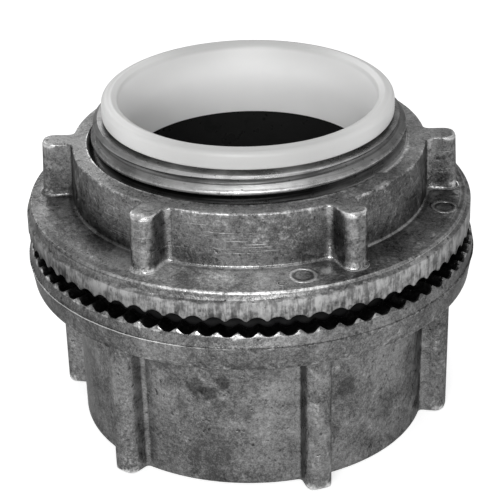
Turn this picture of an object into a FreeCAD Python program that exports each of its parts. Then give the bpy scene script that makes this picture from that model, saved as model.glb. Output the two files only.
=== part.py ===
import FreeCAD, Part

import math
import os

# Watertight conduit hub with an insulated throat, 1-1/4 trade size: four pieces, in millimetres.
# The origin is the centre of the barrel's bottom face and +Z runs up the axis: barrel, toothed hub
# flange, toothed locknut flange, collar, nipple, lip of the liner. Angles are counted from the
# front (-Y) towards the right (+X).

# Heights along the axis
barrel_height = 20.6
hub_flange_thickness = 5.37
ring_gap = 1.61
locknut_flange_thickness = 3.82
collar_height = 7.72
nipple_stand = 3.38
lip_gap = 0.65

# Nipple, the driving radius: its thread is cut as plain rings at the real pitch
nipple_radius = 20.65
nipple_wall = 3.35
nipple_chamfer = 0.65
nipple_land_drop = 0.9
thread_clearance = 0.05
thread_pitch = 2.2087
thread_flat = 0.3
thread_crest_drop = 1.8
nipple_thread_depth = 1.25
nipple_groove_count = 6

# Conduit entry below it
entry_step = 1.43
entry_depth = 16.8
entry_chamfer = 1.2
entry_thread_run = 1.0
entry_thread_depth = 1.5
entry_groove_count = 6
stop_ledge = 0.6
stop_taper = 0.4

# Barrel: the wall thins downwards by the mould's draft
barrel_wall = 4.13
barrel_draft = 0.35
barrel_foot_chamfer = 0.3
barrel_root_fillet = 0.8

# Wrench ribs of the barrel and drive lugs of the locknut
lobe_count = 6
rib_height = 3.55
rib_draft = 0.25
rib_width = 3.5
rib_corner = 1.6
rib_foot_fillet = 0.6
rib_end_round = 1.1
rib_lift = 0.2
rib_turn = -41.6
lug_height = 3.85
lug_width = 3.3
lug_corner = 1.5
lug_foot_fillet = 0.9
lug_end_round = 1.1
lug_turn = -30.7

# Sealing ring and its groove in the hub's face
groove_land = 1.55
groove_floor_depth = 2.4
seal_width = 3.9
seal_height = 3.0
seal_clearance = 0.1
seal_shoulder = 1.2

# Teeth on the facing rims
tooth_count = 72
tooth_land = 0.6
tooth_length = 2.8
hub_tooth_depth = 0.66
hub_notch_turn = -1.23
hub_valley_width = 0.42
hub_valley_shoulder = 0.82
hub_valley_round = 0.96
locknut_tooth_depth = 0.56
locknut_notch_turn = 0.88
locknut_tip_width = 0.32
scallop_steps = 6
tooth_foot_run = 0.4
tooth_foot_drop = 0.3

# Flanges: each has a parting line round its rim
hub_wall_height = 3.31
hub_wall_draft = 0.42
hub_parting_proud = 0.15
hub_parting_width = 0.15
hub_edge_chamfer = 0.3
locknut_band_height = 2.92
locknut_band_step = 0.25
band_step_slope = 0.1
locknut_wall_draft = 0.45
locknut_rim_round = 0.35
locknut_crown = 0.3

# Collar and bore of the locknut
collar_wall = 2.75
collar_draft = 0.25
collar_rim_round = 0.25
collar_root_fillet = 0.35
locknut_recess_depth = 1.25
locknut_bore_chamfer = 0.2

# Insulating liner: a bell mouth pressed into the nipple
liner_wall = 1.2
liner_depth = 6.85
liner_throat_length = 3.0
lip_overhang = 1.8
lip_height = 2.35
lip_crest_run = 1.65
lip_inner_run = 0.95
lip_inner_drop = 0.35
lip_crest_bulge = 0.1
lip_outer_drop = 0.2
lip_outer_round = 0.75
lip_under_round = 0.3
liner_foot_chamfer = 0.3

# How far cutters and joined shapes run past a face
overrun = 1.0

# Radii worked out from the nipple
liner_radius = nipple_radius - nipple_wall
liner_bore_radius = liner_radius - liner_wall
stop_radius = liner_bore_radius + stop_ledge
entry_radius = nipple_radius - entry_step
barrel_foot_radius = entry_radius + barrel_wall
barrel_root_radius = barrel_foot_radius + barrel_draft
rib_radius = barrel_foot_radius + rib_height
groove_inner_radius = nipple_radius + groove_land
groove_outer_radius = groove_inner_radius + seal_width + 2 * seal_clearance
tooth_inner_radius = groove_outer_radius + tooth_land
flange_radius = tooth_inner_radius + tooth_length
locknut_bore_radius = nipple_radius + thread_clearance
collar_foot_radius = locknut_bore_radius + collar_wall
collar_top_radius = collar_foot_radius - collar_draft
lug_radius = collar_foot_radius + lug_height
lip_radius = liner_radius + lip_overhang

# Heights worked out from the ones above
hub_tip_z = barrel_height + hub_flange_thickness
hub_parting_z = barrel_height + hub_wall_height
nut_tip_z = hub_tip_z + ring_gap
nut_rim_z = nut_tip_z + locknut_flange_thickness
nut_crown_z = nut_rim_z + locknut_crown
collar_top_z = nut_rim_z + collar_height
nut_recess_z = nut_tip_z + locknut_recess_depth
nipple_top_z = collar_top_z + nipple_stand
groove_floor_z = hub_tip_z - groove_floor_depth
liner_seat_z = nipple_top_z - liner_depth
lip_under_z = nipple_top_z + lip_gap
lip_top_z = lip_under_z + lip_height


def radial(radius, height):
    """A point of a profile in the half-plane through the axis."""
    return FreeCAD.Vector(radius, 0, height)


def line(start, end):
    return Part.LineSegment(start, end).toShape()


def arc(start, middle, end):
    return Part.Arc(start, middle, end).toShape()


def corner_arc(centre_r, centre_z, radius, start_deg, end_deg):
    """An arc in the half-plane, by its centre, radius and two angles from the outward direction."""
    points = []
    for angle in (start_deg, (start_deg + end_deg) / 2, end_deg):
        turn = math.radians(angle)
        points.append(radial(centre_r + radius * math.cos(turn), centre_z + radius * math.sin(turn)))
    return points


def revolve_outline(*stretches):
    """Turn a closed outline about the axis. A stretch is one point, or three points of an arc."""
    edges = []
    first = stretches[0][0] if isinstance(stretches[0], list) else stretches[0]
    last = first
    for stretch in stretches:
        points = stretch if isinstance(stretch, list) else [stretch]
        if last.distanceToPoint(points[0]) > 1e-6:
            edges.append(line(last, points[0]))
        if len(points) == 3:
            edges.append(arc(*points))
        last = points[-1]
    edges.append(line(last, first))
    face = Part.Face(Part.Wire(edges))
    return face.revolve(FreeCAD.Vector(0, 0, 0), FreeCAD.Vector(0, 0, 1), 360)


def thread_rings(crest_radius, depth, first_z, count):
    """Corners of a row of ring grooves, going up; a negative depth goes towards the axis."""
    half_flat = thread_flat / 2
    points = []
    for index in range(count):
        low = first_z + thread_pitch * index
        middle = low + thread_pitch / 2
        points.append(radial(crest_radius, low + half_flat))
        points.append(radial(crest_radius + depth, middle - half_flat))
        points.append(radial(crest_radius + depth, middle + half_flat))
        points.append(radial(crest_radius, low + thread_pitch - half_flat))
    return points


def turned(shape, degrees):
    """A copy turned about the axis, counted from the front towards the right."""
    copy = shape.copy()
    copy.rotate(FreeCAD.Vector(0, 0, 0), FreeCAD.Vector(0, 0, 1), degrees - 90)
    return copy


def lobed_wire(body_radius, lobe_radius, width, corner, foot_fillet, height):
    """Plan outline of a round body with equal lobes: filleted feet, flat noses, rounded corners."""
    half = width / 2
    foot_u = math.sqrt((body_radius + foot_fillet) ** 2 - (half + foot_fillet) ** 2)
    foot_turn = math.atan2(half + foot_fillet, foot_u)
    round_half = corner * (1 - math.sqrt(0.5))
    pitch = 2 * math.pi / lobe_count

    def place(u, v, turn):
        cosine = math.cos(turn)
        sine = math.sin(turn)
        return FreeCAD.Vector(u * cosine - v * sine, u * sine + v * cosine, height)

    edges = []
    for index in range(lobe_count):
        turn = index * pitch
        foot_end = body_radius * math.cos(foot_turn), body_radius * math.sin(foot_turn)
        fillet_tangent = math.radians(45) + foot_turn / 2
        foot_mid = (
            foot_u - foot_fillet * math.cos(fillet_tangent),
            half + foot_fillet - foot_fillet * math.sin(fillet_tangent),
        )
        side = [
            place(foot_end[0], -foot_end[1], turn),
            place(foot_mid[0], -foot_mid[1], turn),
            place(foot_u, -half, turn),
            place(lobe_radius - corner, -half, turn),
            place(lobe_radius - round_half, -half + round_half, turn),
            place(lobe_radius, -half + corner, turn),
        ]
        far = [
            place(lobe_radius, half - corner, turn),
            place(lobe_radius - round_half, half - round_half, turn),
            place(lobe_radius - corner, half, turn),
            place(foot_u, half, turn),
            place(foot_mid[0], foot_mid[1], turn),
            place(foot_end[0], foot_end[1], turn),
        ]
        edges.append(arc(side[0], side[1], side[2]))
        edges.append(line(side[2], side[3]))
        edges.append(arc(side[3], side[4], side[5]))
        edges.append(line(side[5], far[0]))
        edges.append(arc(far[0], far[1], far[2]))
        edges.append(line(far[2], far[3]))
        edges.append(arc(far[3], far[4], far[5]))
        middle = turn + pitch / 2
        next_turn = turn + pitch
        edges.append(
            arc(
                far[5],
                place(body_radius, 0, middle),
                place(foot_end[0], -foot_end[1], next_turn),
            )
        )
    return Part.Wire(edges)


def flat_face(points):
    return Part.Face(Part.makePolygon(points + [points[0]]))


def tooth_cutters(notch_points, tip_z, first_turn):
    """Wedges that cut one ring of radial notches. Each narrows towards the axis, as the teeth do."""
    ends = []
    for radius in (tooth_inner_radius - tooth_foot_run, flange_radius + overrun):
        share = radius / flange_radius
        ends.append([FreeCAD.Vector(radius, v * share, tip_z + h * share) for v, h in notch_points])
    near, far = ends
    faces = [flat_face(near), flat_face(far)]
    for index in range(len(near)):
        faces.append(flat_face([near[index - 1], near[index], far[index], far[index - 1]]))
    wedge = Part.Solid(Part.Shell(faces))
    if wedge.Volume < 0:
        wedge.reverse()
    step = 360 / tooth_count
    return Part.makeCompound([turned(wedge, first_turn + step * index) for index in range(tooth_count)])


def hub_notch():
    """Section of a hub notch, looking inwards: straight flanks down to a narrow rounded valley."""
    half_pitch = math.pi * flange_radius / tooth_count
    valley = hub_valley_width
    rise = hub_tooth_depth
    left = [
        (-half_pitch, 0),
        (-valley, -hub_valley_shoulder * rise),
        (-valley / 2, -hub_valley_round * rise),
    ]
    right = [(-v, h) for v, h in reversed(left)]
    return [(-half_pitch, rise)] + left + [(0, -rise)] + right + [(half_pitch, rise)]


def locknut_notch():
    """Section of a locknut notch: one round scallop between blunt tips."""
    half_chord = math.pi * flange_radius / tooth_count - locknut_tip_width / 2
    depth = locknut_tooth_depth
    scallop = (half_chord ** 2 + depth ** 2) / (2 * depth)
    reach = math.asin(half_chord / scallop)
    curve = []
    for index in range(scallop_steps + 1):
        angle = reach * (2 * index / scallop_steps - 1)
        curve.append((scallop * math.sin(angle), scallop * math.cos(angle) - scallop + depth))
    return [(-half_chord, -depth)] + curve + [(half_chord, -depth)]


def wrench_ribs():
    """Barrel and ribs in one: a drafted lobed column with its lower outer edges rounded off."""
    top_z = barrel_height + overrun
    outlines = []
    for share, height in ((0, 0), (1, top_z)):
        outlines.append(
            lobed_wire(
                barrel_foot_radius + barrel_draft * share,
                rib_radius + rib_draft * share,
                rib_width,
                rib_corner,
                rib_foot_fillet,
                height,
            )
        )
    column = turned(Part.makeLoft(outlines, True, True), rib_turn)
    beyond = rib_radius + rib_draft + overrun
    envelope = revolve_outline(
        radial(0, 0),
        radial(barrel_foot_radius - barrel_foot_chamfer, 0),
        radial(barrel_foot_radius, rib_lift),
        corner_arc(rib_radius - rib_end_round, rib_lift + rib_end_round, rib_end_round, -90, 0),
        radial(beyond, rib_lift + 3 * rib_end_round),
        radial(beyond, top_z),
        radial(0, top_z),
    )
    return column.common(envelope)


def hub_body():
    root = barrel_root_fillet
    wall_foot = flange_radius - hub_wall_draft
    parting_radius = flange_radius + hub_parting_proud
    tooth_foot_z = hub_tip_z - hub_tooth_depth - tooth_foot_drop
    top_crest_z = nipple_top_z - thread_crest_drop
    first_crest_z = top_crest_z - nipple_groove_count * thread_pitch
    nipple_depth = nipple_thread_depth
    run_out_z = top_crest_z + thread_pitch / 2
    outside = revolve_outline(
        radial(0, barrel_height - root),
        corner_arc(barrel_root_radius + root, barrel_height - root, root, 180, 90),
        radial(wall_foot - hub_edge_chamfer, barrel_height),
        radial(wall_foot, barrel_height + hub_edge_chamfer),
        radial(parting_radius, hub_parting_z - hub_parting_width),
        radial(parting_radius, hub_parting_z),
        radial(flange_radius, hub_parting_z + hub_parting_proud),
        radial(flange_radius, hub_tip_z),
        radial(tooth_inner_radius, hub_tip_z),
        radial(tooth_inner_radius - tooth_foot_run, tooth_foot_z),
        radial(groove_outer_radius, tooth_foot_z),
        radial(groove_outer_radius, groove_floor_z),
        radial(groove_inner_radius, groove_floor_z),
        radial(groove_inner_radius, hub_tip_z - nipple_land_drop),
        radial(nipple_radius, hub_tip_z - nipple_land_drop),
        *thread_rings(nipple_radius, -nipple_depth, first_crest_z, nipple_groove_count),
        radial(nipple_radius, top_crest_z + thread_flat / 2),
        radial(nipple_radius - nipple_depth, run_out_z - thread_flat / 2),
        radial(nipple_radius - nipple_depth, run_out_z + thread_flat / 2),
        radial(nipple_radius - nipple_chamfer, nipple_top_z),
        radial(0, nipple_top_z),
    )
    body = outside.fuse(wrench_ribs())
    passage = revolve_outline(
        radial(0, -overrun),
        radial(entry_radius + entry_chamfer + overrun, -overrun),
        radial(entry_radius, entry_chamfer),
        *thread_rings(
            entry_radius, entry_thread_depth, entry_chamfer + entry_thread_run, entry_groove_count
        ),
        radial(entry_radius, entry_depth),
        radial(stop_radius, entry_depth + stop_taper),
        radial(stop_radius, liner_seat_z),
        radial(liner_radius, liner_seat_z),
        radial(liner_radius, nipple_top_z + overrun),
        radial(0, nipple_top_z + overrun),
    )
    body = body.cut(passage)
    body = body.cut(tooth_cutters(hub_notch(), hub_tip_z, hub_notch_turn))
    return body.removeSplitter()


def drive_lugs():
    """Collar and lugs in one, with the upper outer ends of the lugs rounded off."""
    foot_z = (nut_recess_z + nut_rim_z) / 2
    column = Part.Face(
        lobed_wire(
            collar_top_radius,
            lug_radius,
            lug_width,
            lug_corner,
            lug_foot_fillet,
            foot_z,
        )
    ).extrude(FreeCAD.Vector(0, 0, collar_top_z - foot_z))
    beyond = lug_radius + overrun
    envelope = revolve_outline(
        radial(0, foot_z),
        radial(beyond, foot_z),
        radial(beyond, collar_top_z - lug_end_round * 2),
        corner_arc(lug_radius - lug_end_round, collar_top_z - lug_end_round, lug_end_round, 0, 90),
        radial(0, collar_top_z),
    )
    return turned(column, lug_turn).common(envelope)


def locknut():
    band_radius = flange_radius
    wall_radius = band_radius - locknut_band_step
    band_top = nut_tip_z + locknut_band_height
    rim = locknut_rim_round
    rim_radius = wall_radius - locknut_wall_draft
    root = collar_root_fillet
    outside = revolve_outline(
        radial(0, nut_recess_z),
        radial(tooth_inner_radius - tooth_foot_run, nut_recess_z),
        radial(tooth_inner_radius, nut_tip_z),
        radial(band_radius, nut_tip_z),
        radial(band_radius, band_top),
        radial(wall_radius, band_top + band_step_slope),
        corner_arc(rim_radius - rim, nut_rim_z - rim, rim, 0, 90),
        radial(collar_foot_radius + root, nut_crown_z),
        corner_arc(collar_foot_radius + root, nut_crown_z + root, root, -90, -180),
        corner_arc(
            collar_top_radius - collar_rim_round, collar_top_z - collar_rim_round, collar_rim_round, 0, 90
        ),
        radial(0, collar_top_z),
    )
    body = outside.fuse(drive_lugs())
    chamfer = locknut_bore_chamfer
    mouth_radius = locknut_bore_radius + chamfer
    bore = revolve_outline(
        radial(0, nut_recess_z - overrun),
        radial(mouth_radius, nut_recess_z - overrun),
        radial(mouth_radius, nut_recess_z),
        radial(locknut_bore_radius, nut_recess_z + chamfer),
        radial(locknut_bore_radius, collar_top_z - chamfer),
        radial(mouth_radius, collar_top_z),
        radial(mouth_radius, collar_top_z + overrun),
        radial(0, collar_top_z + overrun),
    )
    body = body.cut(bore)
    body = body.cut(tooth_cutters(locknut_notch(), nut_tip_z, locknut_notch_turn))
    return body.removeSplitter()


def insulated_throat():
    """The bell mouth: straight at the throat, then one long curve out to the rolled lip."""
    throat_top = liner_seat_z + liner_throat_length
    inner_top = lip_top_z - lip_inner_drop
    flare = lip_inner_run
    rise = inner_top - throat_top
    bell_radius = (flare ** 2 + rise ** 2) / (2 * flare)
    bell_turn = math.degrees(math.asin(rise / bell_radius))
    bell_centre = liner_bore_radius + bell_radius
    crest = radial(liner_bore_radius + lip_crest_run, lip_top_z)
    crest_start = radial(liner_bore_radius + lip_inner_run, inner_top)
    crest_mid = (crest_start + crest) * 0.5 + radial(-lip_crest_bulge, lip_crest_bulge)
    outer = lip_outer_round
    under = lip_under_round
    edge_z = lip_top_z - lip_outer_drop
    return revolve_outline(
        radial(liner_bore_radius, liner_seat_z),
        radial(liner_bore_radius, throat_top),
        corner_arc(bell_centre, throat_top, bell_radius, 180, 180 - bell_turn),
        [crest_start, crest_mid, crest],
        corner_arc(lip_radius - outer, edge_z - outer, outer, 90, 0),
        corner_arc(lip_radius - under, lip_under_z + under, under, 0, -90),
        radial(liner_radius, lip_under_z),
        radial(liner_radius, liner_seat_z + liner_foot_chamfer),
        radial(liner_radius - liner_foot_chamfer, liner_seat_z),
    )


def sealing_ring():
    """Rubber ring with a rounded top, loose in its groove and a little proud of the teeth."""
    inner = groove_inner_radius + seal_clearance
    outer = inner + seal_width
    middle = (inner + outer) / 2
    top_z = groove_floor_z + seal_height
    shoulder_z = top_z - seal_shoulder
    return revolve_outline(
        radial(inner, groove_floor_z),
        radial(outer, groove_floor_z),
        radial(outer, shoulder_z),
        [radial(outer, shoulder_z), radial(middle, top_z), radial(inner, shoulder_z)],
    )


def write_parts():
    os.makedirs("parts", exist_ok=True)
    pieces = {
        "hub_body": hub_body(),
        "locknut": locknut(),
        "insulated_throat": insulated_throat(),
        "sealing_ring": sealing_ring(),
    }
    for name, shape in pieces.items():
        solid = shape.Solids[0]
        print(name, "solids", len(shape.Solids), "valid", solid.isValid(), "volume", round(solid.Volume, 1))
        solid.exportStep(os.path.join("parts", name + ".step"))


write_parts()
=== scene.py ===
import math

import bpy
import numpy as np
from mathutils import Euler, Matrix, Vector


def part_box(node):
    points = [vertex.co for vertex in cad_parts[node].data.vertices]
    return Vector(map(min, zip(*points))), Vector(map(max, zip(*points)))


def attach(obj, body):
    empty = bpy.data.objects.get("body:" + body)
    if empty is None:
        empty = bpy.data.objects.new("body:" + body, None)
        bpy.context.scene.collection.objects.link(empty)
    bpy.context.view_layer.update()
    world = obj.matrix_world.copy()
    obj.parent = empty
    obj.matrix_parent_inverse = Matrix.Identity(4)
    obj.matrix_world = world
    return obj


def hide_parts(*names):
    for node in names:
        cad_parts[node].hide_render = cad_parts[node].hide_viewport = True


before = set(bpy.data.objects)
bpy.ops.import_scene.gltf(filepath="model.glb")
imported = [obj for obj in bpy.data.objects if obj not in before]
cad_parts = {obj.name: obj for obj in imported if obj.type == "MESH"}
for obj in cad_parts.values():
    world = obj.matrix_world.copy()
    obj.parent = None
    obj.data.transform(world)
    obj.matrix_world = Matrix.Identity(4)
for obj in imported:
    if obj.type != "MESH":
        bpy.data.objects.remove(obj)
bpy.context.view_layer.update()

mm = 0.001
tau = 2 * math.pi
luck = np.random.default_rng(11)


def corners(node):  # lowest and highest corner of a CAD node at rest, in millimetres
    low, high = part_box(node)
    return np.array(low) / mm, np.array(high) / mm


hubLow, hubHigh = corners("hub_body")
nutLow, nutHigh = corners("locknut")
throatLow, throatHigh = corners("insulated_throat")
sealLow, sealHigh = corners("sealing_ring")

# What the pieces share: angles run from the front towards the right, seen from above
hub = {
    "flangeRadius": 29.7, "lobeCount": 6, "toothCount": 72, "toothLength": 2.8,
    "threadPitch": 25.4 / 11.5, "crestFront": 40.55, "threadDepth": 1.0,
}


class Skin:
    # A closed surface in millimetres, built ring by ring along a profile that returns to its start.
    # Rings of equal count are joined point to point, others by walking both in the order of their angles.

    def __init__(self):
        self.points = []
        self.faces = []
        self.count = 0
        self.first = None
        self.last = None

    def place(self, theta, radius, height):
        theta, radius, height = np.broadcast_arrays(theta, radius, height)
        spot = np.stack([radius * np.sin(theta), -radius * np.cos(theta), height], -1).reshape(-1, 3)
        numbers = self.count + np.arange(len(spot)).reshape(theta.shape)
        self.points.append(spot)
        self.count += len(spot)
        return numbers

    def ring(self, theta, radius, height):
        self.join(self.place(theta, radius, height), theta)

    def rings(self, theta, *stations):
        for radius, height in stations:
            self.ring(theta, radius, height)

    def join(self, numbers, theta):
        if self.last is None:
            self.first = numbers, theta
        else:
            self.bridge(self.last, (numbers, theta))
        self.last = numbers, theta

    def bridge(self, low, high):
        lowNumbers, lowTheta = low
        highNumbers, highTheta = high
        if len(lowNumbers) == len(highNumbers):
            lowNext = np.roll(lowNumbers, -1)
            highNext = np.roll(highNumbers, -1)
            self.faces.append(np.stack([lowNumbers, lowNext, highNext], -1))
            self.faces.append(np.stack([lowNumbers, highNext, highNumbers], -1))
            return
        lowNumbers, lowTheta = fromZero(lowNumbers, lowTheta)
        highNumbers, highTheta = fromZero(highNumbers, highTheta)
        turns = np.concatenate([np.append(lowTheta[1:], tau), np.append(highTheta[1:], tau)])
        isLow = np.argsort(turns, kind="stable") < len(lowNumbers)
        lowStep = np.cumsum(isLow) - isLow
        highStep = np.cumsum(~isLow) - ~isLow
        here = lowNumbers[lowStep % len(lowNumbers)]
        above = highNumbers[highStep % len(highNumbers)]
        onLow = lowNumbers[(lowStep + 1) % len(lowNumbers)]
        onHigh = highNumbers[(highStep + 1) % len(highNumbers)]
        self.faces.append(np.stack([here, np.where(isLow, onLow, onHigh), above], -1))

    def thread(self, low, high, phases, radii, columns, upward, limit):
        # Rows climb one pitch a turn, so that crest and root are rows, and both ends are cut off square.
        pitch = hub["threadPitch"]
        start = hub["crestFront"]
        lowest = math.floor((low - start) / pitch) - 2
        highest = math.ceil((high - start) / pitch) + 1
        turns = np.arange(lowest, highest)[:, None] + np.array(phases)
        rowHeight = start + pitch * turns.reshape(-1, 1)
        rowRadius = np.tile(radii, len(turns))[:, None]
        if not upward:
            rowHeight = rowHeight[::-1]
            rowRadius = rowRadius[::-1]
        theta = np.arange(columns) * tau / columns
        height = rowHeight + pitch * theta / tau
        ends = {}
        for level in (low, high):
            phase = (level - start) / pitch - theta / tau
            cut = np.interp(phase % 1, [*phases, phases[0] + 1], [*radii, radii[0]])
            ends[level] = self.place(theta, limit(cut, level), level)
        numbers = self.place(theta, limit(rowRadius, height), height)
        numbers = np.where(height <= low + 1e-6, ends[low], numbers)
        numbers = np.where(height >= high - 1e-6, ends[high], numbers)
        shift = len(phases) if upward else -len(phases)
        wrapped = np.clip(np.arange(len(numbers)) + shift, 0, len(numbers) - 1)
        beside = np.concatenate([numbers[:, 1:], numbers[wrapped, :1]], 1)
        a, b, c, d = numbers[:-1], beside[:-1], beside[1:], numbers[1:]
        faces = np.concatenate([np.stack(sides, -1).reshape(-1, 3) for sides in ((a, b, c), (a, c, d))])
        keep = (faces != np.roll(faces, 1, 1)).all(1)
        startRing, endRing = (ends[low], ends[high]) if upward else (ends[high], ends[low])
        self.join(startRing, theta)
        self.faces.append(faces[keep])
        self.last = endRing, theta

    def close(self):
        self.bridge(self.last, self.first)
        points = np.concatenate(self.points)
        faces = np.concatenate(self.faces)
        used, faces = np.unique(faces, return_inverse=True)
        return points[used], faces.reshape(-1, 3)


def fromZero(numbers, theta):
    turn = theta % tau
    shift = -int(np.argmin(turn))
    return np.roll(numbers, shift), np.roll(turn, shift)


def evenTurn(count):
    return np.arange(count) * tau / count


def arcPoints(centre, radius, fromDegrees, toDegrees, count):  # stations on an arc of the profile
    angle = np.radians(np.linspace(fromDegrees, toDegrees, count))
    return list(zip(centre[0] + radius * np.cos(angle), centre[1] + radius * np.sin(angle)))


def edgeShare(points, faces):
    # How far a point stands out from the middle of its neighbours, measured along its normal and
    # in lengths of its own edges: positive on an outer edge, negative in a corner, zero on a flat.
    a, b, c = (points[faces[:, i]] for i in range(3))
    faceNormal = np.cross(b - a, c - a)
    normal = np.zeros_like(points)
    around = np.zeros_like(points)
    length = np.zeros(len(points))
    ways = np.zeros(len(points))
    for i in range(3):
        np.add.at(normal, faces[:, i], faceNormal)
        for j in ((i + 1) % 3, (i + 2) % 3):
            step = points[faces[:, j]] - points[faces[:, i]]
            np.add.at(around, faces[:, i], step)
            np.add.at(length, faces[:, i], np.linalg.norm(step, axis=1))
            np.add.at(ways, faces[:, i], 1)
    normal /= np.linalg.norm(normal, axis=1)[:, None] + 1e-12
    share = -(around * normal).sum(1) / (length + 1e-9)
    spread = np.zeros(len(points))
    for i in range(3):
        for j in ((i + 1) % 3, (i + 2) % 3):
            np.add.at(spread, faces[:, i], share[faces[:, j]])
    return 0.5 * share + 0.5 * spread / ways


def makePiece(name, skin, body, node, material, sharpDegrees):
    points, faces = skin.close()
    volume = np.einsum("ij,ij->i", points[faces[:, 0]], np.cross(points[faces[:, 1]], points[faces[:, 2]]))
    print(name, "points", len(points), "triangles", len(faces), "volume mm3", round(volume.sum() / 6, 1))
    mesh = bpy.data.meshes.new(name)
    mesh.vertices.add(len(points))
    mesh.vertices.foreach_set("co", (points * mm).ravel())
    mesh.loops.add(faces.size)
    mesh.loops.foreach_set("vertex_index", faces.ravel())
    mesh.polygons.add(len(faces))
    mesh.polygons.foreach_set("loop_start", np.arange(len(faces)) * 3)
    mesh.update(calc_edges=True)
    mesh.validate()
    mesh.shade_smooth()
    mesh.set_sharp_from_angle(angle=math.radians(sharpDegrees))
    edge = mesh.attributes.new("edge", "FLOAT", "POINT")
    edge.data.foreach_set("value", edgeShare(points, faces))
    mesh.materials.append(material)
    piece = bpy.data.objects.new(name, mesh)
    bpy.context.scene.collection.objects.link(piece)
    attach(piece, body)
    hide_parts(node)


def lobedPlan(body, lobe, width, corner, fillet, turn):
    # One round body with equal lobes, seen from above: half a nose, its rounded corner, the straight
    # side, the filleted foot and half the arc to the next lobe, then the mirror image and the repeats.
    half = width / 2
    footU = math.sqrt((body + fillet) ** 2 - (half + fillet) ** 2)
    footTurn = math.atan2(half + fillet, footU)
    bend = np.linspace(0, math.pi / 2, 7)
    side = np.linspace(lobe - corner, footU, 5)[1:-1]
    foot = np.linspace(1.5 * math.pi, math.pi + footTurn, 7)
    gap = np.linspace(footTurn, math.pi / hub["lobeCount"], 16)[1:]
    u = np.concatenate([
        [lobe, lobe],
        lobe - corner + corner * np.cos(bend),
        side,
        footU + fillet * np.cos(foot),
        body * np.cos(gap),
    ])
    v = np.concatenate([
        [0, (half - corner) / 2],
        half - corner + corner * np.sin(bend),
        0 * side + half,
        half + fillet + fillet * np.sin(foot),
        body * np.sin(gap),
    ])
    theta = np.arctan2(v, u)
    radius = np.hypot(u, v)
    theta = np.concatenate([-theta[:0:-1], theta[:-1]])
    radius = np.concatenate([radius[:0:-1], radius[:-1]])
    starts = math.radians(turn) + np.arange(hub["lobeCount"]) * tau / hub["lobeCount"]
    return (starts[:, None] + theta).ravel(), np.tile(radius, hub["lobeCount"])


def alongTooth(theta, turn):  # signed arc from the middle of the nearest notch, and the notch's number
    step = tau / hub["toothCount"]
    place = (theta - math.radians(turn)) / step
    number = np.round(place).astype(int) % hub["toothCount"]
    return (place - np.round(place)) * step * hub["flangeRadius"], number


def wander(theta, sizes):  # a slow closed wave around the axis, from a few harmonics with given heights
    total = np.zeros_like(theta)
    for order, height in sizes:
        total += height * np.sin(order * theta + luck.uniform(0, tau))
    return total


class Signal:
    # A socket that is used like a number: an expression on signals adds its Math nodes.

    def __init__(self, sheet, socket):
        self.sheet = sheet
        self.socket = socket

    def apply(self, operation, first, second):
        return self.sheet.node("ShaderNodeMath", {"operation": operation}, first, second)

    def __add__(self, other):
        return self.apply("ADD", self, other)

    def __sub__(self, other):
        return self.apply("SUBTRACT", self, other)

    def __rsub__(self, other):
        return self.apply("SUBTRACT", other, self)

    def __mul__(self, other):
        return self.apply("MULTIPLY", self, other)

    def __truediv__(self, other):
        return self.apply("DIVIDE", self, other)

    def __pow__(self, other):
        return self.apply("POWER", self, other)

    def __neg__(self):
        return self * -1

    __radd__ = __add__
    __rmul__ = __mul__


class Sheet:
    # The node tree of one material.

    def __init__(self, name):
        self.material = bpy.data.materials.new(name)
        self.material.use_nodes = True
        self.tree = self.material.node_tree
        self.tree.nodes.clear()

    def plug(self, socket, value):
        if isinstance(value, Signal):
            self.tree.links.new(value.socket, socket)
        elif value is not None:
            socket.default_value = value

    def node(self, kind, settings, *inputs, output=0, **named):
        made = self.tree.nodes.new(kind)
        for key, value in settings.items():
            setattr(made, key, value)
        for key, value in list(enumerate(inputs)) + list(named.items()):
            self.plug(made.inputs[key if isinstance(key, int) else key.replace("_", " ")], value)
        return Signal(self, made.outputs[output]) if made.outputs else None

    def coordinates(self):  # object coordinates in millimetres
        made = self.node("ShaderNodeTexCoord", {}, output="Object")
        return self.node("ShaderNodeVectorMath", {"operation": "SCALE"}, made, Scale=1 / mm)

    def stretched(self, vector, factors):
        return self.node("ShaderNodeVectorMath", {"operation": "MULTIPLY"}, vector, factors)

    def parts(self, vector):
        made = self.tree.nodes.new("ShaderNodeSeparateXYZ")
        self.plug(made.inputs[0], vector)
        return [Signal(self, made.outputs[i]) for i in range(3)]

    def noise(self, vector, scale, detail=2.0, roughness=0.5, distortion=0.0):
        return self.node("ShaderNodeTexNoise", {}, Vector=vector, Scale=scale, Detail=detail,
                         Roughness=roughness, Distortion=distortion)

    def attribute(self, name):
        return self.node("ShaderNodeAttribute", {"attribute_name": name}, output="Fac")

    def between(self, value, start, full):  # smooth step from 0 at the first bound to 1 at the second
        return self.node("ShaderNodeMapRange", {"interpolation_type": "SMOOTHSTEP"}, value, start, full)

    def larger(self, first, second):
        return self.node("ShaderNodeMath", {"operation": "MAXIMUM"}, first, second)

    def mixed(self, factor, first, second):
        made = self.tree.nodes.new("ShaderNodeMix")
        made.data_type = "RGBA"
        for number, value in ((0, factor), (6, first), (7, second)):
            self.plug(made.inputs[number], value)
        return Signal(self, made.outputs[2])

    def spot(self, place, degrees, height, radius, reach):  # 0 at a point of a round wall, 1 at its reach
        turn = math.radians(degrees)
        centre = (radius * math.sin(turn), -radius * math.cos(turn), height)
        away = self.node("ShaderNodeVectorMath", {"operation": "DISTANCE"}, place, centre, output="Value")
        return away / reach

    def bump(self, height):
        return self.node("ShaderNodeBump", {}, Strength=1.0, Distance=mm, Height=height)

    def finish(self, height, **named):
        shader = self.node("ShaderNodeBsdfPrincipled", {}, Normal=self.bump(height), **named)
        self.node("ShaderNodeOutputMaterial", {}, shader)
        return self.material


def lengthOf(x, y):
    return (x * x + y * y) ** 0.5


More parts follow.
